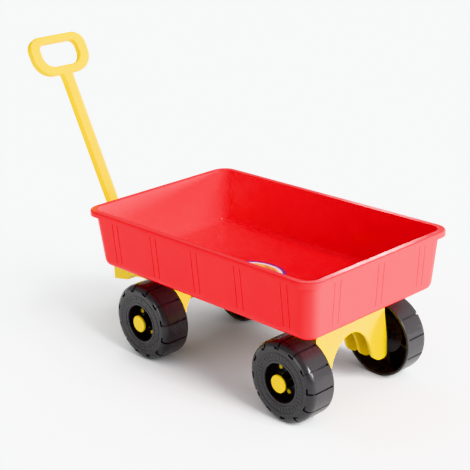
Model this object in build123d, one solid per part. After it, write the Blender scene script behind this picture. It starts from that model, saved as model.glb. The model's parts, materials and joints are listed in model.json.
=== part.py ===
from build123d import *
import os
from math import atan2, cos, degrees, radians, sin

# Child's pull wagon: a moulded tub on two arched carriers, four hollow wheels,
# a steered front carrier with a drawbar, and a pull handle hinged in its fork.
# +X is forward, +Y is the wagon's left, +Z is up. Millimetres.
# Everything is built with the floor at z = 0 and the tub centred on x = y = 0,
# then moved as one so that the origin is the centre of the footprint.

# ---- tub ----
TUB_LENGTH = 560.0
TUB_WIDTH = 350.0
RIM_HEIGHT = 275.0
TUB_DEPTH = 108.0
RIM_OVERHANG = 9.0
RIM_DROP = 9.5
RIM_CORNER = 30.0
RIM_THICKNESS = 2.6
BASE_LENGTH = 522.0
BASE_WIDTH = 316.0
WALL_CORNER = 24.0
TUB_WALL = 2.6
TUB_FLOOR = 4.0
BASE_EDGE_RADIUS = 15.0
GROOVE_WIDTH = 1.5
GROOVE_DEPTH = 0.8
GROOVE_PAIR_GAP = 14.0
GROOVE_SPACING = 104.5
GROOVE_SHIFT = -5.0
END_GROOVE_SHIFT = -4.0
SIDE_PAIRS = 5
END_PAIRS = 3
GROOVE_END_MARGIN = 17.0
LABEL_LENGTH = 112.0
LABEL_WIDTH = 68.0
LABEL_THICKNESS = 0.4
LABEL_RECESS = 0.45
LABEL_MARGIN = 0.3
LABEL_AHEAD = 15.0
LABEL_ASIDE = -9.0

# ---- wheels ----
WHEEL_RADIUS = 71.5
WHEEL_WIDTH = 54.0
WHEEL_WALL = 4.6
SHOULDER_RADIUS = 13.0
RECESS_RADIUS = 33.5
RECESS_DEPTH = 25.0
DISC_THICKNESS = 3.0
HUB_WALL = 3.0
TREAD_GROOVES = 12
TREAD_GROOVE_WIDTH = 3.0
TREAD_GROOVE_DEPTH = 2.6
TREAD_EDGE_BAND = 4.0
SIDEWALL_GROOVE_REACH = 12.0
HOOK_LENGTH = 9.0
INNER_WEBS = 6
WEB_THICKNESS = 2.5
RING_RADII = (39.5, 52.0)
RING_WIDTH = 1.2
RING_HEIGHT = 0.7
DISC_POCKETS = 3
DISC_POCKET_RADIUS = 4.0
DISC_POCKET_DEPTH = 2.0
DISC_POCKET_CIRCLE = 25.0
FIRST_POCKET_ANGLE = 97.0
BUSH_WALL = 3.0
BUSH_END_PLATE = 0.8
AXLE_RADIUS = 7.0
AXLE_HEAD_RADIUS = 15.5
AXLE_HEAD_THICKNESS = 3.6
AXLE_GRIP_LENGTH = 18.0
WHEEL_TURNS = {
    ("rear", "left"): 61.0,
    ("rear", "right"): 11.0,
    ("front", "left"): 72.0,
    ("front", "right"): 17.0,
}

# ---- wheel carriers ----
REAR_AXLE_X = -183.0
FRONT_AXLE_X = 171.0
LEG_FACE_Y = 92.5
LEG_FOOT_DROP = 28.5
LEG_SHOULDER_RISE = 9.0
LEG_TOP_INSET = 11.5
LEG_INNER_ROUND = 31.0
LEG_OUTER_ROUND = 8.5
RIB_COUNT = 3
RIB_SPACING = 27.5
RIB_THICKNESS = 6.0
CARRIER_AHEAD = 5.0
CARRIER_SIDE_WALL = 4.0
TOP_PLATE = 5.0
REAR_ARCH_HALF_WIDTH = 54.0
REAR_ARCH_APEX = 119.0
FRONT_ARCH_HALF_WIDTH = 62.0
FRONT_ARCH_APEX = 128.0
FRONT_WEB_BOTTOM = 66.0
AXLE_BOSS_WALL = 5.0

# ---- steering pivot ----
BOLSTER_RADIUS = 46.0
BOLSTER_THICKNESS = 10.0
THRUST_RING_THICKNESS = 2.0
THRUST_RING_RADIUS = 42.0
TURNTABLE_RADIUS = 52.0
TURNTABLE_THICKNESS = 8.0
KINGPIN_RADIUS = 6.0
KINGPIN_HEAD_RADIUS = 11.0
KINGPIN_HEAD_THICKNESS = 5.0
PIVOT_WASHER_RADIUS = 12.0
PIVOT_WASHER_THICKNESS = 1.6
PIVOT_NUT_ACROSS_FLATS = 19.0
PIVOT_NUT_HEIGHT = 9.0
KINGPIN_TIP = 2.0

# ---- drawbar ----
DRAWBAR_HALF_WIDTH = 13.0
DRAWBAR_BOTTOM_DROP = 15.0
DRAWBAR_TOP_RISE = 12.0
FLANGE_HALF_WIDTH = 32.0
FLANGE_THICKNESS = 6.0
FLANGE_BOTTOM_DROP = 21.0
FLANGE_TOP_RISE = 27.0
CHEEK_THICKNESS = 5.0
FORK_REACH = 47.0
FORK_BACK = 16.0
FORK_TOP_RISE = 14.0
FORK_NOSE_DROP = 33.0
FORK_HEEL_DROP = 25.0
FORK_HEEL_REACH = 4.0
FORK_FLOOR = 3.5

# ---- handle ----
HINGE_X = 361.0
HINGE_HEIGHT = 92.0
HANDLE_LEAN = 27.0
HANDLE_LENGTH = 490.5
SHAFT_WIDTH = 28.0
SHAFT_DEPTH = 12.0
SHAFT_FLAT = 16.5
SHAFT_EDGE = 3.0
FOOT_RADIUS = 13.0
GRIP_WIDTH = 133.0
GRIP_HEIGHT = 81.0
GRIP_DEPTH = 15.0
GRIP_TOP_CORNER = 27.0
GRIP_BOTTOM_CORNER = 40.0
GRIP_EDGE_ROUND = 3.5
GRIP_TOP_BAND = 15.5
GRIP_BOTTOM_BAND = 16.5
GRIP_SIDE_BAND = 22.0
GRIP_OPENING_TOP_CORNER = 14.0
GRIP_OPENING_BOTTOM_CORNER = 25.0
NECK_FLARE = 4.0
NECK_FLARE_LENGTH = 8.0
NECK_OVERLAP = 4.0
HINGE_PIN_RADIUS = 4.5
HINGE_PIN_HEAD_RADIUS = 8.5
HINGE_PIN_HEAD = 3.5
PIN_CAP_RADIUS = 8.5
PIN_CAP_THICKNESS = 5.0
PIN_CAP_END_WALL = 2.0

# ---- screws ----
SCREW_RADIUS = 2.2
SCREW_HEAD_RADIUS = 7.0
SCREW_HEAD_HEIGHT = 2.8
SCREW_SLOT_WIDTH = 1.4
SCREW_SLOT_DEPTH = 1.3
SCREW_BOSS_RADIUS = 5.0
CARRIER_SCREW_Y = 40.0
BOLSTER_SCREW_CIRCLE = 34.0
SCREW_END_SKIN = 1.4
FLANGE_SCREW_Y = 23.0
FLANGE_SCREW_DROP = 12.0
FLANGE_SCREW_RISE = 18.0
FLANGE_SCREW_HEAD_RADIUS = 5.0
FLANGE_BOSS_LENGTH = 8.0

# ---- clearances ----
RUNNING = 0.05
SNUG = 0.02
SLIP = 0.25
FACE_GAP = 0.3
FOLD_GAP = 0.5

# ---- derived places ----
UNDERSIDE = RIM_HEIGHT - TUB_DEPTH
CARGO_FLOOR = UNDERSIDE + TUB_FLOOR
LABEL_SEAT = CARGO_FLOOR - LABEL_RECESS
WALL_TOP_LENGTH = TUB_LENGTH - 2 * RIM_OVERHANG
WALL_TOP_WIDTH = TUB_WIDTH - 2 * RIM_OVERHANG
FOOT_Z = WHEEL_RADIUS - LEG_FOOT_DROP
WHEEL_INNER_Y = LEG_FACE_Y + BUSH_END_PLATE + FACE_GAP
BUSH_RADIUS = AXLE_RADIUS + RUNNING + BUSH_WALL
HUB_RADIUS = BUSH_RADIUS + SNUG + HUB_WALL
TURNTABLE_TOP = UNDERSIDE - BOLSTER_THICKNESS - THRUST_RING_THICKNESS
TURNTABLE_UNDERSIDE = TURNTABLE_TOP - TURNTABLE_THICKNESS
STACK_LENGTH = (RIB_COUNT - 1) * RIB_SPACING + RIB_THICKNESS
FRONT_RIB_FACE = FRONT_AXLE_X + CARRIER_AHEAD + STACK_LENGTH / 2
FORK_HALF_GAP = SHAFT_WIDTH / 2 + FOLD_GAP
FORK_HALF_WIDTH = FORK_HALF_GAP + CHEEK_THICKNESS


def block(x_range, y_range, z_range):
    """Box between two corners."""
    size = [high - low for low, high in (x_range, y_range, z_range)]
    middle = [(high + low) / 2 for low, high in (x_range, y_range, z_range)]
    return Pos(*middle) * Box(*size)


def disc_z(radius, z_low, z_high, x=0.0, y=0.0):
    """Upright cylinder between two heights."""
    return Pos(x, y, (z_low + z_high) / 2) * Cylinder(radius, z_high - z_low)


def disc_y(radius, y_low, y_high, x=0.0, z=0.0):
    """Cylinder lying along Y."""
    return Pos(x, (y_low + y_high) / 2, z) * Rot(90, 0, 0) * Cylinder(radius, y_high - y_low)


def disc_x(radius, x_low, x_high, y=0.0, z=0.0):
    """Cylinder lying along X."""
    return Pos((x_low + x_high) / 2, y, z) * Rot(0, 90, 0) * Cylinder(radius, x_high - x_low)


def polygon(points):
    return make_face(Polyline(*points, close=True))


def tapered_box(low, low_z, top, top_z):
    """Loft between two rounded rectangles, each (length, width, corner radius)."""
    return loft([
        Pos(0, 0, low_z) * RectangleRounded(*low),
        Pos(0, 0, top_z) * RectangleRounded(*top),
    ])


# ---------------------------------------------------------------- tub
def carrier_screw_places():
    centre = REAR_AXLE_X + CARRIER_AHEAD
    return [(centre + sx * RIB_SPACING / 2, sy * CARRIER_SCREW_Y) for sx in (-1, 1) for sy in (-1, 1)]


def bolster_screw_places():
    return [
        (FRONT_AXLE_X + BOLSTER_SCREW_CIRCLE * cos(radians(a)), BOLSTER_SCREW_CIRCLE * sin(radians(a)))
        for a in (45, 135, 225, 315)
    ]


def pair_offsets(count):
    middle = (count - 1) / 2
    return [
        (i - middle) * GROOVE_SPACING + side * GROOVE_PAIR_GAP / 2
        for i in range(count)
        for side in (-1, 1)
    ]


def wall_grooves():
    """Thin upright grooves, in pairs, that follow the draft of the four outer walls."""
    low = UNDERSIDE + GROOVE_END_MARGIN
    high = RIM_HEIGHT - RIM_DROP - 1.0
    side_lean = degrees(atan2((WALL_TOP_WIDTH - BASE_WIDTH) / 2, TUB_DEPTH))
    end_lean = degrees(atan2((WALL_TOP_LENGTH - BASE_LENGTH) / 2, TUB_DEPTH))
    mid = (low + high) / 2
    share = (mid - UNDERSIDE) / TUB_DEPTH
    side_y = (BASE_WIDTH + share * (WALL_TOP_WIDTH - BASE_WIDTH)) / 2
    end_x = (BASE_LENGTH + share * (WALL_TOP_LENGTH - BASE_LENGTH)) / 2
    side_bar = Box(GROOVE_WIDTH, 2 * GROOVE_DEPTH, high - low)
    end_bar = Box(2 * GROOVE_DEPTH, GROOVE_WIDTH, high - low)
    bars = []
    for side in (-1, 1):
        for x in pair_offsets(SIDE_PAIRS):
            bar = Rot(-side * side_lean, 0, 0) * side_bar
            bars.append(Pos(x + GROOVE_SHIFT, side * side_y, mid) * bar)
        for y in pair_offsets(END_PAIRS):
            bar = Rot(0, side * end_lean, 0) * end_bar
            bars.append(Pos(side * end_x, y + END_GROOVE_SHIFT, mid) * bar)
    return bars


def make_tub():
    base = (BASE_LENGTH, BASE_WIDTH, WALL_CORNER)
    top = (WALL_TOP_LENGTH, WALL_TOP_WIDTH, WALL_CORNER)
    inset = 2 * TUB_WALL
    inner_base = (BASE_LENGTH - inset, BASE_WIDTH - inset, WALL_CORNER - TUB_WALL)
    inner_top = (WALL_TOP_LENGTH - inset, WALL_TOP_WIDTH - inset, WALL_CORNER - TUB_WALL)
    outside = tapered_box(base, UNDERSIDE, top, RIM_HEIGHT)
    outside = fillet(outside.edges().group_by(Axis.Z)[0], BASE_EDGE_RADIUS)
    inside = tapered_box(inner_base, CARGO_FLOOR, inner_top, RIM_HEIGHT)
    inside = fillet(inside.edges().group_by(Axis.Z)[0], BASE_EDGE_RADIUS - TUB_WALL)
    rim = extrude(RectangleRounded(TUB_LENGTH, TUB_WIDTH, RIM_CORNER), RIM_DROP)
    rim = fillet(rim.edges().group_by(Axis.Z)[-1], RIM_THICKNESS)
    rim = Pos(0, 0, RIM_HEIGHT - RIM_DROP) * rim
    under_rim = extrude(
        RectangleRounded(
            TUB_LENGTH - 2 * RIM_THICKNESS, TUB_WIDTH - 2 * RIM_THICKNESS, RIM_CORNER - RIM_THICKNESS
        ),
        RIM_DROP - RIM_THICKNESS,
    )
    rim -= Pos(0, 0, RIM_HEIGHT - RIM_DROP) * under_rim
    tub = outside + rim - inside
    for place in carrier_screw_places() + bolster_screw_places():
        tub += disc_z(SCREW_BOSS_RADIUS, UNDERSIDE - TOP_PLATE, UNDERSIDE + TUB_FLOOR / 2, *place)
        tub -= disc_z(SCREW_RADIUS + SNUG, UNDERSIDE - TOP_PLATE, CARGO_FLOOR - SCREW_END_SKIN, *place)
    tub -= wall_grooves()
    return tub - label_oval(LABEL_MARGIN, LABEL_SEAT, CARGO_FLOOR)


def label_oval(margin, low, high):
    oval = extrude(Ellipse(LABEL_LENGTH / 2 + margin, LABEL_WIDTH / 2 + margin), high - low)
    return Pos(LABEL_AHEAD, LABEL_ASIDE, low) * oval


def make_floor_label():
    """Thin oval sticker, flush in a shallow recess of the cargo floor."""
    return label_oval(0, LABEL_SEAT, LABEL_SEAT + LABEL_THICKNESS)


# ---------------------------------------------------------------- screws
def slotted_screw(head_radius, length):
    """Flange-headed screw, head down, its seat at z = 0 and its shank up +Z."""
    screw = disc_z(SCREW_RADIUS, 0, length)
    head = disc_z(head_radius, -SCREW_HEAD_HEIGHT, 0)
    head = chamfer(head.edges().group_by(Axis.Z)[0], SCREW_HEAD_HEIGHT / 3)
    slot = Box(2 * head_radius, SCREW_SLOT_WIDTH, 2 * SCREW_SLOT_DEPTH)
    return screw + head - Pos(0, 0, -SCREW_HEAD_HEIGHT) * slot


def screw_group(places, seat_z):
    length = CARGO_FLOOR - SCREW_END_SKIN - seat_z
    screw = slotted_screw(SCREW_HEAD_RADIUS, length)
    return [Pos(x, y, seat_z) * screw for x, y in places]


# ---------------------------------------------------------------- carriers
def rib_outline(top_z, arch_half_width, arch_apex):
    """Arched rib seen along X, as (y, z): two rounded legs under a tapering shoulder."""
    top_half = LEG_FACE_Y - LEG_TOP_INSET
    shoulder_z = WHEEL_RADIUS + LEG_SHOULDER_RISE
    outline = polygon([
        (-LEG_FACE_Y, FOOT_Z),
        (LEG_FACE_Y, FOOT_Z),
        (LEG_FACE_Y, shoulder_z),
        (top_half, top_z),
        (-top_half, top_z),
        (-LEG_FACE_Y, shoulder_z),
    ])
    outline -= Pos(0, FOOT_Z) * Ellipse(arch_half_width, arch_apex - FOOT_Z)
    feet = [v for v in outline.vertices() if abs(v.Y - FOOT_Z) < 0.01]
    inner = [v for v in feet if abs(v.X) < LEG_FACE_Y - 1]
    foot_width = LEG_FACE_Y - arch_half_width
    outline = fillet(inner, min(LEG_INNER_ROUND, 0.95 * foot_width - LEG_OUTER_ROUND))
    feet = [v for v in outline.vertices() if abs(v.Y - FOOT_Z) < 0.01]
    outer = [v for v in feet if abs(v.X) > LEG_FACE_Y - 1]
    return fillet(outer, LEG_OUTER_ROUND)


def carrier_body(axle_x, top_z, arch_half_width, arch_apex, plate):
    """Ribs, side walls, top plate and axle sockets of one carrier."""
    outline = rib_outline(top_z, arch_half_width, arch_apex)
    back = axle_x + CARRIER_AHEAD - STACK_LENGTH / 2
    body = Pos(back, 0, 0) * extrude(Plane.YZ * outline, RIB_THICKNESS)
    for i in range(1, RIB_COUNT):
        body += Pos(back + i * RIB_SPACING, 0, 0) * extrude(Plane.YZ * outline, RIB_THICKNESS)
    solid_stack = Pos(back, 0, 0) * extrude(Plane.YZ * outline, STACK_LENGTH)
    core = block(
        (back, back + STACK_LENGTH),
        (-LEG_FACE_Y, LEG_FACE_Y),
        (0, top_z - plate),
    )
    body += solid_stack - core
    shoulder_z = WHEEL_RADIUS + LEG_SHOULDER_RISE
    slope = LEG_TOP_INSET / (top_z - shoulder_z)
    inner_half = LEG_FACE_Y - CARRIER_SIDE_WALL
    cavity = polygon([
        (-inner_half, 0),
        (inner_half, 0),
        (inner_half, shoulder_z),
        (inner_half - slope * (top_z - shoulder_z), top_z),
        (-inner_half + slope * (top_z - shoulder_z), top_z),
        (-inner_half, shoulder_z),
    ])
    sides = solid_stack - Pos(back, 0, 0) * extrude(Plane.YZ * cavity, STACK_LENGTH)
    body += sides
    for side in (-1, 1):
        y_in, y_out = sorted((side * (LEG_FACE_Y - AXLE_GRIP_LENGTH), side * LEG_FACE_Y))
        body += disc_y(AXLE_RADIUS + AXLE_BOSS_WALL, y_in, y_out, axle_x, WHEEL_RADIUS)
    for side in (-1, 1):
        y_in, y_out = sorted((side * (LEG_FACE_Y - AXLE_GRIP_LENGTH), side * LEG_FACE_Y))
        body -= disc_y(AXLE_RADIUS + SNUG, y_in, y_out, axle_x, WHEEL_RADIUS)
    return body


def make_rear_carrier():
    carrier = carrier_body(REAR_AXLE_X, UNDERSIDE, REAR_ARCH_HALF_WIDTH, REAR_ARCH_APEX, TOP_PLATE)
    for place in carrier_screw_places():
        carrier -= disc_z(SCREW_BOSS_RADIUS + SLIP, UNDERSIDE - 2 * TOP_PLATE, UNDERSIDE, *place)
    return carrier


def flange_screw_places():
    heights = (HINGE_HEIGHT - FLANGE_SCREW_DROP, HINGE_HEIGHT + FLANGE_SCREW_RISE)
    return [(y, z) for y in (-FLANGE_SCREW_Y, FLANGE_SCREW_Y) for z in heights]


def make_front_carrier():
    carrier = carrier_body(
        FRONT_AXLE_X, TURNTABLE_TOP, FRONT_ARCH_HALF_WIDTH, FRONT_ARCH_APEX, TURNTABLE_THICKNESS
    )
    carrier += disc_z(TURNTABLE_RADIUS, TURNTABLE_UNDERSIDE, TURNTABLE_TOP, FRONT_AXLE_X)
    web_back = FRONT_RIB_FACE - RIB_THICKNESS
    carrier += block(
        (web_back, FRONT_RIB_FACE),
        (-LEG_FACE_Y + CARRIER_SIDE_WALL, LEG_FACE_Y - CARRIER_SIDE_WALL),
        (FRONT_WEB_BOTTOM, TURNTABLE_UNDERSIDE),
    )
    nut_room = PIVOT_WASHER_RADIUS + 2.0
    carrier -= disc_z(nut_room, FOOT_Z, TURNTABLE_UNDERSIDE, FRONT_AXLE_X)
    carrier -= disc_z(KINGPIN_RADIUS + RUNNING, TURNTABLE_UNDERSIDE, TURNTABLE_TOP, FRONT_AXLE_X)
    for y, z in flange_screw_places():
        carrier += disc_x(SCREW_BOSS_RADIUS, web_back - FLANGE_BOSS_LENGTH, web_back, y, z)
        carrier -= disc_x(SCREW_RADIUS + SNUG, web_back - FLANGE_BOSS_LENGTH, FRONT_RIB_FACE, y, z)
    return carrier


# ---------------------------------------------------------------- steering pivot
def make_bolster():
    """Round plate screwed under the tub; it holds the kingpin."""
    plate = disc_z(BOLSTER_RADIUS, UNDERSIDE - BOLSTER_THICKNESS, UNDERSIDE, FRONT_AXLE_X)
    low = UNDERSIDE - BOLSTER_THICKNESS
    plate = chamfer(plate.edges().group_by(Axis.Z)[0], 1.0)
    plate -= disc_z(KINGPIN_RADIUS + SNUG, low, UNDERSIDE, FRONT_AXLE_X)
    plate -= disc_z(
        KINGPIN_HEAD_RADIUS + SLIP, UNDERSIDE - KINGPIN_HEAD_THICKNESS, UNDERSIDE, FRONT_AXLE_X
    )
    for place in bolster_screw_places():
        plate -= disc_z(SCREW_BOSS_RADIUS + SLIP, UNDERSIDE - TOP_PLATE, UNDERSIDE, *place)
        plate -= disc_z(SCREW_HEAD_RADIUS + SLIP, low, UNDERSIDE - TOP_PLATE, *place)
    return plate


def make_thrust_ring():
    z_low = UNDERSIDE - BOLSTER_THICKNESS - THRUST_RING_THICKNESS
    ring = disc_z(THRUST_RING_RADIUS, z_low, z_low + THRUST_RING_THICKNESS, FRONT_AXLE_X)
    return ring - disc_z(KINGPIN_RADIUS + SLIP, z_low, z_low + THRUST_RING_THICKNESS, FRONT_AXLE_X)


def pivot_washer_top():
    return TURNTABLE_UNDERSIDE - FACE_GAP


def make_kingpin():
    """Headed pin hanging from the bolster, with a threaded end for the lock nut."""
    nut_bottom = pivot_washer_top() - PIVOT_WASHER_THICKNESS - PIVOT_NUT_HEIGHT
    head = disc_z(KINGPIN_HEAD_RADIUS, UNDERSIDE - KINGPIN_HEAD_THICKNESS, UNDERSIDE, FRONT_AXLE_X)
    shank = disc_z(KINGPIN_RADIUS, nut_bottom - KINGPIN_TIP, UNDERSIDE, FRONT_AXLE_X)
    shank = chamfer(shank.edges().group_by(Axis.Z)[0], 1.0)
    return head + shank


def make_pivot_washer():
    top = pivot_washer_top()
    washer = disc_z(PIVOT_WASHER_RADIUS, top - PIVOT_WASHER_THICKNESS, top, FRONT_AXLE_X)
    return washer - disc_z(KINGPIN_RADIUS + SNUG, top - PIVOT_WASHER_THICKNESS, top, FRONT_AXLE_X)


def make_pivot_nut():
    top = pivot_washer_top() - PIVOT_WASHER_THICKNESS
    hexagon = extrude(RegularPolygon(PIVOT_NUT_ACROSS_FLATS / 2, 6, major_radius=False), PIVOT_NUT_HEIGHT)
    nut = Pos(FRONT_AXLE_X, 0, top - PIVOT_NUT_HEIGHT) * hexagon
    nut = chamfer(nut.edges().group_by(Axis.Z)[0], 1.0)
    return nut - disc_z(KINGPIN_RADIUS + SNUG, top - PIVOT_NUT_HEIGHT, top, FRONT_AXLE_X)


# ---------------------------------------------------------------- wheels
def wheel_shell():
    """Hollow tyre with recessed disc and hub, axis along Y, open at y = 0, face at y = width."""
    outer, width, wall = WHEEL_RADIUS, WHEEL_WIDTH, WHEEL_WALL
    disc_face = width - RECESS_DEPTH
    disc_back = disc_face - DISC_THICKNESS
    bore = HUB_RADIUS - HUB_WALL
    profile = polygon([
        (outer, 0),
        (outer, width),
        (RECESS_RADIUS, width),
        (RECESS_RADIUS, disc_face),
        (HUB_RADIUS, disc_face),
        (HUB_RADIUS, width),
        (bore, width),
        (bore, 0),
        (HUB_RADIUS, 0),
        (HUB_RADIUS, disc_back),
        (RECESS_RADIUS + DISC_THICKNESS, disc_back),
        (RECESS_RADIUS + DISC_THICKNESS, width - wall),
        (outer - wall, width - wall),
        (outer - wall, 0),
    ])

    def corner(x, y):
        return [v for v in profile.vertices() if abs(v.X - x) < 0.01 and abs(v.Y - y) < 0.01]

    profile = fillet(corner(outer, width), SHOULDER_RADIUS)
    profile = fillet(corner(outer - wall, width - wall), SHOULDER_RADIUS - wall)
    profile = fillet(corner(RECESS_RADIUS, width), 2.5)
    profile = fillet(corner(outer, 0) + corner(outer - wall, 0), 1.5)
    return revolve(profile, Axis.Y)


def tread_skin():
    """Outer layer of the tyre, from beside the open edge over the shoulder to the sidewall."""
    outer, width, depth = WHEEL_RADIUS, WHEEL_WIDTH, TREAD_GROOVE_DEPTH
    reach = outer - SIDEWALL_GROOVE_REACH
    section = polygon([
        (outer + 1, TREAD_EDGE_BAND),
        (outer + 1, width + 1),
        (reach, width + 1),
        (reach, TREAD_EDGE_BAND),
    ])
    inner = polygon([
        (outer - depth, 0),
        (outer - depth, width - depth),
        (0, width - depth),
        (0, 0),
    ])
    corner = [v for v in inner.vertices() if abs(v.X - outer + depth) < 0.01 and v.Y > 1]
    return revolve(section - fillet(corner, SHOULDER_RADIUS - depth), Axis.Y)


def tread_grooves():
    """Cross grooves, each hooked where it ends on the sidewall."""
    reach = WHEEL_RADIUS - SIDEWALL_GROOVE_REACH
    length = SIDEWALL_GROOVE_REACH + 4
    slab = Pos(reach + length / 2, WHEEL_WIDTH / 2, 0) * Box(length, WHEEL_WIDTH + 4, TREAD_GROOVE_WIDTH)
    hook = Pos(reach + TREAD_GROOVE_WIDTH / 2, WHEEL_WIDTH, -HOOK_LENGTH / 2) * Box(
        TREAD_GROOVE_WIDTH, 2 * WHEEL_WALL, HOOK_LENGTH
    )
    groove = (slab + hook) & tread_skin()
    return [Rot(0, i * 360 / TREAD_GROOVES, 0) * groove for i in range(TREAD_GROOVES)]


def disc_pocket_places():
    angles = [radians(FIRST_POCKET_ANGLE + i * 360 / DISC_POCKETS) for i in range(DISC_POCKETS)]
    return [(DISC_POCKET_CIRCLE * cos(a), DISC_POCKET_CIRCLE * sin(a)) for a in angles]


def make_wheel():
    wheel = wheel_shell() - tread_grooves()
    disc_back = WHEEL_WIDTH - RECESS_DEPTH - DISC_THICKNESS
    web_root = RECESS_RADIUS + DISC_THICKNESS / 2
    web_tip = WHEEL_RADIUS - WHEEL_WALL / 2
    web = block(
        (web_root, web_tip),
        (disc_back, WHEEL_WIDTH - WHEEL_WALL / 2),
        (-WEB_THICKNESS / 2, WEB_THICKNESS / 2),
    )
    room = revolve(
        polygon([
            (web_root, 0),
            (web_tip, 0),
            (web_tip, WHEEL_WIDTH - WHEEL_WALL - SHOULDER_RADIUS / 2),
            (web_tip - SHOULDER_RADIUS, WHEEL_WIDTH - WHEEL_WALL / 2),
            (web_root, WHEEL_WIDTH - WHEEL_WALL / 2),
        ]),
        Axis.Y,
    )
    for i in range(INNER_WEBS):
        wheel += Rot(0, (i + 0.5) * 360 / INNER_WEBS, 0) * (web & room)
    for radius in RING_RADII:
        ring = Pos(0, WHEEL_WIDTH, 0) * Rot(90, 0, 0) * Torus(radius, RING_WIDTH / 2)
        wheel += ring
    disc_face = WHEEL_WIDTH - RECESS_DEPTH
    for x, z in disc_pocket_places():
        wheel -= disc_y(DISC_POCKET_RADIUS, disc_face - DISC_POCKET_DEPTH, disc_face + 1, x, z)
    return wheel


def make_bush():
    """Plain bearing sleeve pressed into the hub, with a thrust collar at its inner end."""
    sleeve = disc_y(BUSH_RADIUS, 0, WHEEL_WIDTH) + disc_y(HUB_RADIUS, -BUSH_END_PLATE, 0)
    return sleeve - disc_y(AXLE_RADIUS + RUNNING, -BUSH_END_PLATE, WHEEL_WIDTH)


def make_axle_pin():
    """Big-headed pin that carries one wheel and plugs into a carrier leg; tip at -y."""
    head_low = WHEEL_INNER_Y + WHEEL_WIDTH + FACE_GAP
    tip = LEG_FACE_Y - AXLE_GRIP_LENGTH
    head = disc_y(AXLE_HEAD_RADIUS, head_low, head_low + AXLE_HEAD_THICKNESS)
    head = fillet(head.edges().group_by(Axis.Y)[-1], 1.6)
    shank = disc_y(AXLE_RADIUS, tip, head_low)
    shank = chamfer(shank.edges().group_by(Axis.Y)[0], 1.2)
    return head + shank


def on_axle(part, axle_x, side, y=0.0, turn=0.0):
    """Place a piece built along +Y on one end of an axle, turned about the axle."""
    facing = part if side > 0 else Rot(0, 0, 180) * part
    return Pos(axle_x, side * y, WHEEL_RADIUS) * Rot(0, turn, 0) * facing


# ---------------------------------------------------------------- drawbar
def drawbar_outline():
    """Side view of the beam and fork as (x, z)."""
    back = FRONT_RIB_FACE
    bottom = HINGE_HEIGHT - DRAWBAR_BOTTOM_DROP
    return polygon([
        (back, bottom),
        (HINGE_X - FORK_BACK, bottom + 2.0),
        (HINGE_X - FORK_BACK / 2, bottom + 2.0),
        (HINGE_X + FORK_HEEL_REACH, HINGE_HEIGHT - FORK_HEEL_DROP),
        (HINGE_X + FORK_REACH, HINGE_HEIGHT - FORK_NOSE_DROP),
        (HINGE_X + FORK_REACH, HINGE_HEIGHT - 2.0),
        (HINGE_X + FORK_REACH - 16.0, HINGE_HEIGHT + FORK_TOP_RISE),
        (HINGE_X - FORK_BACK, HINGE_HEIGHT + FORK_TOP_RISE),
        (HINGE_X - FORK_BACK - 14.0, HINGE_HEIGHT + DRAWBAR_TOP_RISE),
        (back, HINGE_HEIGHT + DRAWBAR_TOP_RISE),
    ])


def across(outline, half_width):
    """Extrude an (x, z) outline symmetrically across Y."""
    return Pos(0, half_width, 0) * extrude(Plane.XZ * outline, 2 * half_width)


def make_drawbar():
    outline = drawbar_outline()
    whole = across(outline, FORK_HALF_WIDTH)
    fork_start = HINGE_X - FORK_BACK
    beam_zone = block(
        (FRONT_RIB_FACE, fork_start),
        (-DRAWBAR_HALF_WIDTH, DRAWBAR_HALF_WIDTH),
        (0, RIM_HEIGHT),
    )
    taper = Pos(fork_start - 14, 0, 0) * extrude(
        polygon([
            (0, -DRAWBAR_HALF_WIDTH),
            (14.5, -FORK_HALF_WIDTH),
            (14.5, FORK_HALF_WIDTH),
            (0, DRAWBAR_HALF_WIDTH),
        ]),
        RIM_HEIGHT,
    )
    fork_zone = block((fork_start, HINGE_X + 2 * FORK_REACH), (-RIM_HEIGHT, RIM_HEIGHT), (0, RIM_HEIGHT))
    drawbar = whole & (beam_zone + taper + fork_zone)
    pocket_back = HINGE_X - FOOT_RADIUS - FOLD_GAP
    slot = block((pocket_back, HINGE_X + 2 * FORK_REACH), (-FORK_HALF_GAP, FORK_HALF_GAP), (0, RIM_HEIGHT))
    floor = across(outline, FORK_HALF_GAP) - Pos(0, 0, FORK_FLOOR) * across(outline, FORK_HALF_GAP)
    floor_top = HINGE_HEIGHT - FOOT_RADIUS - FOLD_GAP
    floor -= block((0, TUB_LENGTH), (-TUB_WIDTH, TUB_WIDTH), (floor_top, RIM_HEIGHT))
    drawbar = drawbar - slot + (floor & slot)
    flange = block(
        (FRONT_RIB_FACE, FRONT_RIB_FACE + FLANGE_THICKNESS),
        (-FLANGE_HALF_WIDTH, FLANGE_HALF_WIDTH),
        (HINGE_HEIGHT - FLANGE_BOTTOM_DROP, HINGE_HEIGHT + FLANGE_TOP_RISE),
    )
    flange = fillet(flange.edges().filter_by(Axis.X), 5.0)
    drawbar += flange
    for y, z in flange_screw_places():
        drawbar -= disc_x(SCREW_RADIUS + SLIP, FRONT_RIB_FACE, FRONT_RIB_FACE + FLANGE_THICKNESS, y, z)
    drawbar -= disc_y(HINGE_PIN_RADIUS + SNUG, -FORK_HALF_WIDTH, FORK_HALF_WIDTH, HINGE_X, HINGE_HEIGHT)
    return drawbar


def make_drawbar_screws():
    seat = FRONT_RIB_FACE + FLANGE_THICKNESS
    length = seat - (FRONT_RIB_FACE - RIB_THICKNESS - FLANGE_BOSS_LENGTH) - 1.0
    screw = slotted_screw(FLANGE_SCREW_HEAD_RADIUS, length)
    return [Pos(seat, y, z) * Rot(0, -90, 0) * screw for y, z in flange_screw_places()]


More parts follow.
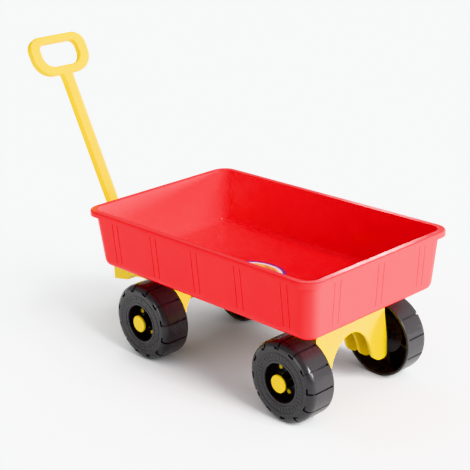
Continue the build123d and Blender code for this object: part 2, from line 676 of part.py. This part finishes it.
def make_hinge_pin():
    tail = FORK_HALF_WIDTH + PIN_CAP_THICKNESS - PIN_CAP_END_WALL
    pin = disc_y(HINGE_PIN_RADIUS, -tail, FORK_HALF_WIDTH, HINGE_X, HINGE_HEIGHT)
    head = disc_y(
        HINGE_PIN_HEAD_RADIUS, FORK_HALF_WIDTH, FORK_HALF_WIDTH + HINGE_PIN_HEAD, HINGE_X, HINGE_HEIGHT
    )
    return pin + fillet(head.edges().group_by(Axis.Y)[-1], 1.5)


def make_pin_cap():
    outer_face = -FORK_HALF_WIDTH - PIN_CAP_THICKNESS
    cap = disc_y(PIN_CAP_RADIUS, outer_face, -FORK_HALF_WIDTH, HINGE_X, HINGE_HEIGHT)
    cap = fillet(cap.edges().group_by(Axis.Y)[0], 1.5)
    bore_end = -FORK_HALF_WIDTH - PIN_CAP_THICKNESS + PIN_CAP_END_WALL
    return cap - disc_y(HINGE_PIN_RADIUS + SNUG, bore_end, -FORK_HALF_WIDTH, HINGE_X, HINGE_HEIGHT)


# ---------------------------------------------------------------- handle
def shaft_section():
    """Flat bar with a broad flat on each face and shallow bevels to thin edges, as (x, y)."""
    half_w, half_d = SHAFT_WIDTH / 2, SHAFT_DEPTH / 2
    flat, edge = SHAFT_FLAT / 2, SHAFT_EDGE / 2
    return polygon([
        (-half_d, -flat),
        (-edge, -half_w),
        (edge, -half_w),
        (half_d, -flat),
        (half_d, flat),
        (edge, half_w),
        (-edge, half_w),
        (-half_d, flat),
    ])


def d_shape(width, low, high, low_radius, high_radius):
    """Closed (y, z) outline of a hand loop, more rounded below than above."""
    outline = polygon([(-width / 2, low), (width / 2, low), (width / 2, high), (-width / 2, high)])
    bottom = [v for v in outline.vertices() if abs(v.Y - low) < 0.01]
    outline = fillet(bottom, low_radius)
    top = [v for v in outline.vertices() if abs(v.Y - high) < 0.01]
    return fillet(top, high_radius)


def make_grip():
    """Closed hand loop, standing on the shaft."""
    base = HANDLE_LENGTH - GRIP_HEIGHT
    outer = d_shape(GRIP_WIDTH, base, HANDLE_LENGTH, GRIP_BOTTOM_CORNER, GRIP_TOP_CORNER)
    opening = d_shape(
        GRIP_WIDTH - 2 * GRIP_SIDE_BAND,
        base + GRIP_BOTTOM_BAND,
        HANDLE_LENGTH - GRIP_TOP_BAND,
        GRIP_OPENING_BOTTOM_CORNER,
        GRIP_OPENING_TOP_CORNER,
    )
    loop = Pos(-GRIP_DEPTH / 2, 0, 0) * extrude(Plane.YZ * (outer - opening), GRIP_DEPTH)
    rims = loop.faces().filter_by(Axis.X).edges()
    return fillet(rims, GRIP_EDGE_ROUND)


def make_handle():
    grip_base = HANDLE_LENGTH - GRIP_HEIGHT
    shaft = extrude(shaft_section(), grip_base + GRIP_BOTTOM_BAND / 2)
    foot = disc_y(FOOT_RADIUS, -SHAFT_WIDTH / 2, SHAFT_WIDTH / 2)
    widened = scale(shaft_section(), (1.0, (SHAFT_WIDTH + NECK_FLARE) / SHAFT_WIDTH, 1.0))
    flare = loft([
        Pos(0, 0, grip_base - NECK_FLARE_LENGTH) * shaft_section(),
        Pos(0, 0, grip_base + NECK_OVERLAP) * widened,
    ])
    handle = shaft + foot + flare + make_grip()
    handle -= disc_y(HINGE_PIN_RADIUS + RUNNING, -SHAFT_WIDTH, SHAFT_WIDTH)
    return Pos(HINGE_X, 0, HINGE_HEIGHT) * Rot(0, HANDLE_LEAN, 0) * handle


# ---------------------------------------------------------------- assembly
def build_parts():
    parts = {
        "tub": make_tub(),
        "floor_label": make_floor_label(),
        "rear_carrier": make_rear_carrier(),
        "rear_carrier_screws": screw_group(carrier_screw_places(), UNDERSIDE - TOP_PLATE),
        "bolster": make_bolster(),
        "bolster_screws": screw_group(bolster_screw_places(), UNDERSIDE - TOP_PLATE),
        "kingpin": make_kingpin(),
        "thrust_ring": make_thrust_ring(),
        "pivot_washer": make_pivot_washer(),
        "pivot_nut": make_pivot_nut(),
        "front_carrier": make_front_carrier(),
        "drawbar": make_drawbar(),
        "drawbar_screws": make_drawbar_screws(),
        "handle": make_handle(),
        "handle_pin": make_hinge_pin(),
        "handle_pin_cap": make_pin_cap(),
    }
    wheel, bush, pin = make_wheel(), make_bush(), make_axle_pin()
    for axle, axle_x in (("rear", REAR_AXLE_X), ("front", FRONT_AXLE_X)):
        for hand, side in (("left", 1), ("right", -1)):
            turn = WHEEL_TURNS[axle, hand]
            parts[f"{axle}_wheel_{hand}"] = on_axle(wheel, axle_x, side, WHEEL_INNER_Y, turn)
            parts[f"{axle}_wheel_bush_{hand}"] = on_axle(bush, axle_x, side, WHEEL_INNER_Y, turn)
            parts[f"{axle}_axle_pin_{hand}"] = on_axle(pin, axle_x, side)
    return parts


def pieces_of(part):
    """The separate solids of a node: several in a group of like fasteners, otherwise one."""
    return part if isinstance(part, list) else [part]


def centre_shift(parts):
    """X distance from the tub's centre to the middle of the whole footprint."""
    boxes = [piece.bounding_box() for part in parts.values() for piece in pieces_of(part)]
    return (min(b.min.X for b in boxes) + max(b.max.X for b in boxes)) / 2


def main():
    os.makedirs("parts", exist_ok=True)
    parts = build_parts()
    shift = centre_shift(parts)
    for name, part in parts.items():
        solids = [solid.moved(Pos(-shift, 0, 0)) for piece in pieces_of(part) for solid in piece.solids()]
        export_step(Compound(solids) if len(solids) > 1 else solids[0], f"parts/{name}.step")
    print(f"origin lies {shift:.3f} mm ahead of the tub's centre")


main()
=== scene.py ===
import json
from math import cos, radians, sin, tau

import bmesh
import bpy
from mathutils import Matrix, Vector


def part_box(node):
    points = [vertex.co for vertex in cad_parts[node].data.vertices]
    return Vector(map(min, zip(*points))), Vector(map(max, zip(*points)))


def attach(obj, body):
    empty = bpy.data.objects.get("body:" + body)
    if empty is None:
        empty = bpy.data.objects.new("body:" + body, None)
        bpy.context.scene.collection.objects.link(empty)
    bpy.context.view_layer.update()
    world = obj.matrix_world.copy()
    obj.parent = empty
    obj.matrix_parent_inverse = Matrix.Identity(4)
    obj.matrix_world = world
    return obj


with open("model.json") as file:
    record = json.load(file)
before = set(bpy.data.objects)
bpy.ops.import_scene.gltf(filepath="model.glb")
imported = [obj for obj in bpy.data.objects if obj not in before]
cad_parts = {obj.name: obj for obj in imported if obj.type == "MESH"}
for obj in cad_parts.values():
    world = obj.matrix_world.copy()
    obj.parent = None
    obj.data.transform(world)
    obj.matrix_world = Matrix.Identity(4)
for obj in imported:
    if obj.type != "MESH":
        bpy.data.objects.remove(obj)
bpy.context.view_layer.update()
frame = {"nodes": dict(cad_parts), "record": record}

# Kids pull wagon: looks, floor, light and camera. Metres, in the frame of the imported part:
# +X forward, +Y the wagon's left, +Z up, floor at z = 0.

# ---------------------------------------------------------------- sizes
TUB_LOW, TUB_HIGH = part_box("tub")
TUB_CENTRE_X = (TUB_LOW.x + TUB_HIGH.x) / 2
LABEL_LOW, LABEL_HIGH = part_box("floor_label")

# Camera solved from the photo: place beside the tub's centre, angles in degrees, lens in mm.
CAMERA_BEHIND = 1.430
CAMERA_ASIDE = 1.395
CAMERA_HEIGHT = 0.966
CAMERA_YAW = -42.96
CAMERA_PITCH = -19.85
CAMERA_ROLL = -2.03
CAMERA_LENS = 92.8
SENSOR_WIDTH = 36.0

# Raised bars round each tyre's sidewall; every fourth one is short.
MARK_CIRCLE = 0.0458
MARK_COUNT = 40
MARK_GROUP = 4
MARK_LENGTH = 0.0062
SHORT_MARK_SHARE = 0.55
MARK_WIDTH = 0.0020
MARK_RISE = 0.00055
MARK_ROOT = 0.0004
MARK_CHAMFER_SHARE = 0.25
SIDEWALL_RIDGE = 0.0006

# Studs in the pockets of each wheel's disc. The profile holds radius and rise, the angles say where
# the first pocket of each wheel is, in degrees from +X towards +Z.
STUD_COUNT = 3
STUD_CIRCLE = 0.025
STUD_SEAT_DEPTH = 0.027
STUD_PROFILE = ((0.0039, 0.0), (0.0039, 0.0020), (0.0034, 0.0027), (0.0018, 0.0032))
STUD_STEPS = 24
STUD_ANGLES = {
    "rear_wheel_left": 36,
    "front_wheel_left": 25,
    "rear_wheel_right": 72,
    "front_wheel_right": 66,
}

# Detail sizes of moulded plastic: noise scales per metre, heights and depths in metres.
CLOUD_SCALE = 9.0
SPECK_SCALE = 900.0
SCUFF_STRETCH = (60.0, 900.0, 240.0)
SCUFF_SHARE = 0.05
EDGE_SHARE = 0.18
SMEAR_SCALE = 34.0
PEEL_SCALE = 260.0
GRAIN_SCALE = 1500.0
GRAIN_SHARE = 0.25
PEEL_HEIGHT = 0.00006
PEEL_STRENGTH = 0.35
GLOW_DEPTH = 0.004

# Drawn lines along the tub's flat floor.
LINE_STRETCH = (2.2, 330.0, 1.0)
LINE_SHARE = 0.28
LINE_HEIGHT = 0.00030
LINE_STRENGTH = 0.5
FLOOR_FADE_START = LABEL_LOW.z + 0.002
FLOOR_FADE_END = LABEL_LOW.z + 0.006

# Metal and sticker film.
BRUSH_STRETCH = (400.0, 400.0, 4000.0)
BRUSH_HEIGHT = 0.00004
PATCH_SCALE = 55.0
FIBRE_SCALE = 700.0
CREASE_SCALE = 60.0
CREASE_HEIGHT = 0.0002

# Sticker rings from the middle outwards: share of the radius and colour.
STICKER_RINGS = (
    (0.0, (0.93, 0.55, 0.10)),
    (0.68, (0.95, 0.62, 0.14)),
    (0.73, (0.93, 0.92, 0.86)),
    (0.76, (0.93, 0.93, 0.95)),
    (0.84, (0.93, 0.93, 0.95)),
    (0.88, (0.10, 0.05, 0.34)),
    (1.0, (0.14, 0.07, 0.42)),
)

# Studio: a pale paper floor and lights that aim at the wagon's middle.
FLOOR_HALF_SIZE = 30.0
FLOOR_COLOUR = (0.150, 0.165, 0.1675)
FLOOR_DARKER = (0.148, 0.163, 0.1655)
AIM_POINT = (TUB_CENTRE_X, 0, 0.15)
SUN_PLACE = (TUB_CENTRE_X - 3.0, -0.2, 2.0)
ABOVE_PLACE = (TUB_CENTRE_X, 0.05, 3.0)
REAR_PLACE = (TUB_CENTRE_X - 4.0, -4.6, 0.3)
GLOSS_PLACE = (TUB_CENTRE_X - 3.0, -0.7, 1.1)
SIDE_PLACE = (TUB_CENTRE_X + 0.3, 3.0, 0.5)
RIM_PLACE = (TUB_CENTRE_X + 1.6, -2.2, 1.5)
WORLD_STRENGTH = 0.65
FLOOR_SUN_COLOUR = (1.0, 0.912, 0.899)

# Sockets of the Mix node that hold its colours.
MIX_FIRST, MIX_SECOND, MIX_RESULT = 6, 7, 2


# ---------------------------------------------------------------- shader helpers
def new_material(name):
    material = bpy.data.materials.new(name)
    material.use_nodes = True
    tree = material.node_tree
    tree.nodes.clear()
    output = tree.nodes.new("ShaderNodeOutputMaterial")
    shader = tree.nodes.new("ShaderNodeBsdfPrincipled")
    tree.links.new(shader.outputs["BSDF"], output.inputs["Surface"])
    return material, tree, shader


def node(tree, kind, **settings):
    made = tree.nodes.new("ShaderNode" + kind)
    for key, value in settings.items():
        setattr(made, key, value)
    return made


def places(tree, stretch=(1, 1, 1)):
    """Object coordinates in metres, stretched along each axis."""
    coordinates = node(tree, "TexCoord")
    mapping = node(tree, "Mapping")
    mapping.inputs["Scale"].default_value = stretch
    tree.links.new(coordinates.outputs["Object"], mapping.inputs["Vector"])
    return mapping.outputs["Vector"]


def noise(tree, vector, scale, detail=3.0, roughness=0.55):
    texture = node(tree, "TexNoise")
    texture.inputs["Scale"].default_value = scale
    texture.inputs["Detail"].default_value = detail
    texture.inputs["Roughness"].default_value = roughness
    tree.links.new(vector, texture.inputs["Vector"])
    return texture.outputs["Fac"]


def spread(tree, value, low, high, from_low=0.3, from_high=0.7):
    """Maps a value between from_low and from_high to the range low to high."""
    ranged = node(tree, "MapRange")
    tree.links.new(value, ranged.inputs["Value"])
    ranged.inputs["From Min"].default_value = from_low
    ranged.inputs["From Max"].default_value = from_high
    ranged.inputs["To Min"].default_value = low
    ranged.inputs["To Max"].default_value = high
    return ranged.outputs["Result"]


def mix(tree, factor, first, second):
    """Colour mix; the factor is a number or a socket, each colour is a colour or a socket."""
    mixed = node(tree, "Mix", data_type="RGBA")
    sockets = (mixed.inputs["Factor"], mixed.inputs[MIX_FIRST], mixed.inputs[MIX_SECOND])
    for socket, value in zip(sockets, (factor, first, second)):
        if isinstance(value, bpy.types.NodeSocket):
            tree.links.new(value, socket)
        elif isinstance(value, (int, float)):
            socket.default_value = value
        else:
            socket.default_value = (*value, 1.0)
    return mixed.outputs[MIX_RESULT]


def arithmetic(tree, operation, first, second=0.0, clamp=False):
    done = node(tree, "Math", operation=operation, use_clamp=clamp)
    for socket, value in zip(done.inputs, (first, second)):
        if isinstance(value, bpy.types.NodeSocket):
            tree.links.new(value, socket)
        else:
            socket.default_value = value
    return done.outputs["Value"]


def bump(tree, shader, height, distance, strength=1.0, under=None):
    bumped = node(tree, "Bump")
    bumped.inputs["Distance"].default_value = distance
    bumped.inputs["Strength"].default_value = strength
    tree.links.new(height, bumped.inputs["Height"])
    if under is not None:
        tree.links.new(under, bumped.inputs["Normal"])
    tree.links.new(bumped.outputs["Normal"], shader.inputs["Normal"])
    return bumped.outputs["Normal"]


def edge_wear(tree, start=0.53, end=0.62):
    """1 on worn, sharp outer edges and 0 on flat places."""
    geometry = node(tree, "NewGeometry")
    return spread(tree, geometry.outputs["Pointiness"], 0.0, 1.0, start, end)


# ---------------------------------------------------------------- materials
def plastic_surface(name, colour, deep, worn, rough, speck=0.0, spec=0.5, glow=0.0, glow_reach=(1, 1, 1)):
    """Injection moulded plastic: faint flow clouds, specks, orange peel, scuffs and paler worn edges."""
    material, tree, shader = new_material(name)
    vector = places(tree)
    clouds = spread(tree, noise(tree, vector, CLOUD_SCALE, detail=4.0), 0.0, 1.0, 0.35, 0.65)
    base = mix(tree, clouds, colour, deep)
    specks = spread(tree, noise(tree, vector, SPECK_SCALE, detail=2.0), 0.0, speck, 0.55, 0.75)
    base = mix(tree, specks, base, worn)
    scuffs = noise(tree, places(tree, SCUFF_STRETCH), 1.0, detail=2.0, roughness=0.7)
    scuffed = spread(tree, scuffs, 0.0, 0.20, 0.66, 0.84)
    edges = arithmetic(tree, "MULTIPLY", edge_wear(tree), EDGE_SHARE)
    scuff_wear = arithmetic(tree, "MULTIPLY", scuffed, SCUFF_SHARE)
    wear = arithmetic(tree, "ADD", edges, scuff_wear, clamp=True)
    base = mix(tree, wear, base, worn)
    tree.links.new(base, shader.inputs["Base Color"])
    smears = noise(tree, vector, SMEAR_SCALE, detail=5.0, roughness=0.6)
    smeared = spread(tree, smears, rough - 0.05, rough + 0.06)
    tree.links.new(arithmetic(tree, "ADD", smeared, scuffed), shader.inputs["Roughness"])
    shader.inputs["Specular IOR Level"].default_value = spec
    shader.inputs["Subsurface Weight"].default_value = glow
    shader.inputs["Subsurface Radius"].default_value = glow_reach
    shader.inputs["Subsurface Scale"].default_value = GLOW_DEPTH
    peel = noise(tree, vector, PEEL_SCALE, detail=2.0)
    grain = arithmetic(tree, "MULTIPLY", noise(tree, vector, GRAIN_SCALE, detail=1.0), GRAIN_SHARE)
    normal = bump(tree, shader, arithmetic(tree, "ADD", peel, grain), PEEL_HEIGHT, PEEL_STRENGTH)
    return material, tree, shader, base, normal


def moulded_plastic(name, *colours, **settings):
    """Moulded plastic with nothing added to its surface; colours are plain, deep and worn."""
    return plastic_surface(name, *colours, **settings)[0]


def tub_plastic(name, colour, deep, worn, rough, spec):
    """The tub's plastic, with fine drawn lines along its flat floor."""
    material, tree, shader, base, normal = plastic_surface(name, colour, deep, worn, rough, spec=spec)
    geometry = node(tree, "NewGeometry")
    facing = node(tree, "SeparateXYZ")
    tree.links.new(geometry.outputs["True Normal"], facing.inputs["Vector"])
    place = node(tree, "SeparateXYZ")
    tree.links.new(places(tree), place.inputs["Vector"])
    upward = spread(tree, facing.outputs["Z"], 0.0, 1.0, 0.97, 0.995)
    low = spread(tree, place.outputs["Z"], 1.0, 0.0, FLOOR_FADE_START, FLOOR_FADE_END)
    on_floor = arithmetic(tree, "MULTIPLY", upward, low)
    lines = noise(tree, places(tree, LINE_STRETCH), 1.0, detail=3.0, roughness=0.6)
    marks = arithmetic(tree, "MULTIPLY", spread(tree, lines, 0.0, 1.0, 0.45, 0.72), on_floor)
    streaked = mix(tree, arithmetic(tree, "MULTIPLY", marks, LINE_SHARE), base, worn)
    tree.links.new(streaked, shader.inputs["Base Color"])
    bump(tree, shader, marks, LINE_HEIGHT, LINE_STRENGTH, under=normal)
    return material


def brushed_metal(name, colour, dull, rough):
    """Zinc plated steel with fine brushing and uneven tone."""
    material, tree, shader = new_material(name)
    vector = places(tree)
    tone = spread(tree, noise(tree, vector, 160.0, detail=4.0), 0.0, 1.0)
    tree.links.new(mix(tree, tone, colour, dull), shader.inputs["Base Color"])
    shader.inputs["Metallic"].default_value = 1.0
    brushing = noise(tree, places(tree, BRUSH_STRETCH), 1.0, detail=2.0)
    tree.links.new(spread(tree, brushing, rough - 0.06, rough + 0.12), shader.inputs["Roughness"])
    bump(tree, shader, brushing, BRUSH_HEIGHT, 0.5)
    return material


def label_film(name):
    """Oval sticker: dark outline, pale band and a warm middle with soft plain patches."""
    material, tree, shader = new_material(name)
    half = (LABEL_HIGH - LABEL_LOW) / 2
    middle = (LABEL_HIGH + LABEL_LOW) / 2
    coordinates = node(tree, "TexCoord")
    mapping = node(tree, "Mapping", vector_type="POINT")
    mapping.inputs["Location"].default_value = (-middle.x / half.x, -middle.y / half.y, 0.0)
    mapping.inputs["Scale"].default_value = (1 / half.x, 1 / half.y, 0.0)
    tree.links.new(coordinates.outputs["Object"], mapping.inputs["Vector"])
    length = node(tree, "VectorMath", operation="LENGTH")
    tree.links.new(mapping.outputs["Vector"], length.inputs[0])
    radius = length.outputs["Value"]
    ramp = node(tree, "ValToRGB")
    ramp.color_ramp.interpolation = "EASE"
    ends = (STICKER_RINGS[0], STICKER_RINGS[-1])
    for element, (position, colour) in zip(ramp.color_ramp.elements, ends):
        element.position = position
        element.color = (*colour, 1)
    for position, colour in STICKER_RINGS[1:-1]:
        ramp.color_ramp.elements.new(position).color = (*colour, 1)
    tree.links.new(radius, ramp.inputs["Fac"])
    patches = spread(tree, noise(tree, places(tree), PATCH_SCALE, detail=1.0), 0.0, 1.0, 0.50, 0.56)
    inside = spread(tree, radius, 1.0, 0.0, 0.60, 0.68)
    shown = arithmetic(tree, "MULTIPLY", patches, inside)
    colour = mix(tree, shown, ramp.outputs["Color"], (0.80, 0.30, 0.08))
    fibres = spread(tree, noise(tree, places(tree), FIBRE_SCALE, detail=3.0), 0.0, 0.07)
    tree.links.new(mix(tree, fibres, colour, (0.55, 0.52, 0.55)), shader.inputs["Base Color"])
    creases = noise(tree, places(tree), CREASE_SCALE, detail=3.0)
    tree.links.new(spread(tree, creases, 0.22, 0.34), shader.inputs["Roughness"])
    bump(tree, shader, creases, CREASE_HEIGHT, 0.4)
    shader.inputs["Coat Weight"].default_value = 0.4
    return material


def make_materials():
    """One finished material for each slot of the record; colours are plain, deep and worn."""
    red = tub_plastic(
        "red_plastic", (0.90, 0.005, 0.009), (0.86, 0.003, 0.007), (0.93, 0.07, 0.06),
        rough=0.18, spec=0.22,
    )
    yellow = moulded_plastic(
        "yellow_plastic", (0.84, 0.60, 0.004), (0.80, 0.545, 0.003), (0.88, 0.68, 0.05),
        rough=0.25, glow=0.02, glow_reach=(1.0, 0.5, 0.1),
    )
    black = moulded_plastic(
        "black_plastic", (0.036, 0.034, 0.036), (0.028, 0.026, 0.028), (0.10, 0.095, 0.10),
        rough=0.24, speck=0.15,
    )
    nylon = moulded_plastic(
        "natural_nylon", (0.80, 0.78, 0.70), (0.74, 0.72, 0.64), (0.9, 0.9, 0.86), rough=0.45
    )
    return {
        "red_plastic": red,
        "yellow_plastic": yellow,
        "black_plastic": black,
        "natural_nylon": nylon,
        "zinc_steel": brushed_metal("zinc_steel", (0.72, 0.73, 0.74), (0.55, 0.56, 0.58), rough=0.32),
        "label_film": label_film("label_film"),
    }


def dress_nodes(materials):
    """Gives every CAD node the finished material of its slot."""
    slots = {row["node"]: row["material_slot"] for row in frame["record"]["subparts"]}
    for name, obj in frame["nodes"].items():
        obj.data.materials.clear()
        obj.data.materials.append(materials[slots[name]])


# ---------------------------------------------------------------- pieces
def add_skin(mesh, rings):
    """Closes a stack of vertex rings into a solid skin."""
    mesh.faces.new(reversed(rings[0]))
    mesh.faces.new(rings[-1])
    count = len(rings[0])
    for below, above in zip(rings, rings[1:]):
        for i in range(count):
            j = (i + 1) % count
            mesh.faces.new((below[i], below[j], above[j], above[i]))


def bevelled_bar(mesh, size, place):
    """Adds one bar with chamfered top edges; size and place along its own axes."""
    length, width, low, high = size
    inset = min(width, high) * MARK_CHAMFER_SHARE
    rows = []
    for z, shrink in ((low, 0.0), (high - inset, 0.0), (high, inset)):
        x, y = length / 2 - shrink, width / 2 - shrink
        corners = ((-x, -y), (x, -y), (x, y), (-x, y))
        rows.append([mesh.verts.new(place @ Vector((a, b, z))) for a, b in corners])
    add_skin(mesh, rows)


def wheel_face(wheel_node):
    """Centre of a wheel, the side of the wagon it is on (+1 left) and the Y of its outer sidewall."""
    low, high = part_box(wheel_node)
    centre = (low + high) / 2
    side = 1 if centre.y > 0 else -1
    outermost = high.y if side > 0 else low.y
    return centre, side, outermost - side * SIDEWALL_RIDGE


def make_tyre_marks(wheel_node):
    """Ring of small raised bars on a tyre's sidewall, between its two thin ridges."""
    centre, side, face_y = wheel_face(wheel_node)
    middle = Vector((centre.x, face_y, centre.z))
    outside = Vector((0, side, 0))
    mesh = bmesh.new()
    for i in range(MARK_COUNT):
        angle = tau * i / MARK_COUNT
        outward = Vector((cos(angle), 0, sin(angle)))
        along = Vector((-sin(angle), 0, cos(angle)))
        length = MARK_LENGTH if i % MARK_GROUP else MARK_LENGTH * SHORT_MARK_SHARE
        turn = Matrix((outward, along, outside)).transposed().to_4x4()
        place = Matrix.Translation(middle + outward * MARK_CIRCLE) @ turn
        bevelled_bar(mesh, (length, MARK_WIDTH, -MARK_ROOT, MARK_RISE), place)
    return finish_piece(mesh, f"{wheel_node}_marks", wheel_node, "black_plastic")


def make_studs(wheel_node):
    """Three domed yellow studs pressed into the pockets of a wheel's disc."""
    centre, side, face_y = wheel_face(wheel_node)
    seat = Vector((centre.x, face_y - side * STUD_SEAT_DEPTH, centre.z))
    turns = [tau * step / STUD_STEPS for step in range(STUD_STEPS)]
    mesh = bmesh.new()
    for i in range(STUD_COUNT):
        angle = radians(STUD_ANGLES[wheel_node]) + tau * i / STUD_COUNT
        middle = seat + STUD_CIRCLE * Vector((cos(angle), 0, sin(angle)))
        rings = []
        for radius, rise in STUD_PROFILE:
            points = [Vector((radius * cos(turn), side * rise, radius * sin(turn))) for turn in turns]
            rings.append([mesh.verts.new(middle + point) for point in points])
        add_skin(mesh, rings)
    return finish_piece(mesh, f"{wheel_node}_studs", wheel_node, "yellow_plastic")


def finish_piece(mesh, name, body, slot):
    """Turns a built mesh into a named piece that rides a body and wears a slot's material."""
    bmesh.ops.recalc_face_normals(mesh, faces=mesh.faces)
    data = bpy.data.meshes.new(name)
    mesh.to_mesh(data)
    mesh.free()
    piece = bpy.data.objects.new(name, data)
    bpy.context.scene.collection.objects.link(piece)
    data.materials.append(materials[slot])
    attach(piece, body)
    return piece


# ---------------------------------------------------------------- stage
def make_floor():
    """Plain pale floor under the wheels."""
    material, tree, shader = new_material("paper_floor")
    tone = spread(tree, noise(tree, places(tree), 3.0, detail=3.0), 0.0, 1.0)
    tree.links.new(mix(tree, tone, FLOOR_COLOUR, FLOOR_DARKER), shader.inputs["Base Color"])
    shader.inputs["Roughness"].default_value = 0.9
    shader.inputs["Specular IOR Level"].default_value = 0.0
    mesh = bmesh.new()
    bmesh.ops.create_grid(mesh, x_segments=4, y_segments=4, size=FLOOR_HALF_SIZE)
    data = bpy.data.meshes.new("floor")
    mesh.to_mesh(data)
    mesh.free()
    floor = bpy.data.objects.new("floor", data)
    bpy.context.scene.collection.objects.link(floor)
    data.materials.append(material)


def make_world():
    world = bpy.data.worlds.new("studio")
    world.use_nodes = True
    background = world.node_tree.nodes["Background"]
    background.inputs["Color"].default_value = (1.0, 1.0, 1.0, 1.0)
    background.inputs["Strength"].default_value = WORLD_STRENGTH
    bpy.context.scene.world = world


def make_light(name, kind, energy, place, receivers, **settings):
    """A light aimed at the wagon that reaches only the objects of one collection."""
    lamp = bpy.data.lights.new(name, kind)
    lamp.energy = energy
    for key, value in settings.items():
        setattr(lamp, key, value)
    obj = bpy.data.objects.new(name, lamp)
    bpy.context.scene.collection.objects.link(obj)
    obj.location = place
    obj.rotation_euler = (Vector(AIM_POINT) - Vector(place)).to_track_quat("-Z", "Y").to_euler()
    obj.light_linking.receiver_collection = receivers
    return obj


def make_lights(added):
    """Soft lights from behind and above; the floor has its own, which cast the wagon's shadow."""
    wagon = bpy.data.collections.new("wagon_only")
    for obj in list(frame["nodes"].values()) + added:
        wagon.objects.link(obj)
    floor = bpy.data.collections.new("floor_only")
    floor.objects.link(bpy.data.objects["floor"])
    make_light(
        "shadow_sun", "SUN", 25.0, SUN_PLACE, floor, angle=radians(34), color=FLOOR_SUN_COLOUR
    )
    make_light(
        "floor_top", "SUN", 18.0, ABOVE_PLACE, floor, angle=radians(175), color=FLOOR_SUN_COLOUR
    )
    make_light("key_sun", "SUN", 2.1, SUN_PLACE, wagon, angle=radians(9))
    rear = make_light("rear_key", "AREA", 1250.0, REAR_PLACE, wagon, shape="DISK", size=1.6)
    rear.visible_glossy = False
    make_light(
        "gloss_strip", "AREA", 40.0, GLOSS_PLACE, wagon, shape="RECTANGLE", size=0.5, size_y=0.5
    )
    make_light("side_fill", "AREA", 14.0, SIDE_PLACE, wagon, shape="DISK", size=1.2)
    make_light("rim_light", "AREA", 8.0, RIM_PLACE, wagon, shape="DISK", size=0.35)


def make_camera():
    """The photo's camera, with its slight roll."""
    yaw, pitch, roll = radians(CAMERA_YAW), radians(CAMERA_PITCH), radians(CAMERA_ROLL)
    ahead = Vector((cos(pitch) * cos(yaw), cos(pitch) * sin(yaw), sin(pitch)))
    right = ahead.cross(Vector((0, 0, 1))).normalized()
    up = right.cross(ahead)
    tilted_right = cos(roll) * right + sin(roll) * up
    tilted_up = cos(roll) * up - sin(roll) * right
    camera = bpy.data.cameras.new("camera")
    camera.lens = CAMERA_LENS
    camera.sensor_width = SENSOR_WIDTH
    obj = bpy.data.objects.new("camera", camera)
    bpy.context.scene.collection.objects.link(obj)
    place = Vector((TUB_CENTRE_X - CAMERA_BEHIND, CAMERA_ASIDE, CAMERA_HEIGHT))
    turn = Matrix((tilted_right, tilted_up, -ahead)).transposed().to_4x4()
    obj.matrix_world = Matrix.Translation(place) @ turn
    bpy.context.scene.camera = obj


materials = make_materials()
dress_nodes(materials)
added = [make(wheel) for wheel in STUD_ANGLES for make in (make_tyre_marks, make_studs)]
make_camera()
make_floor()
make_world()
make_lights(added)
bpy.context.scene.view_settings.view_transform = "Khronos PBR Neutral"
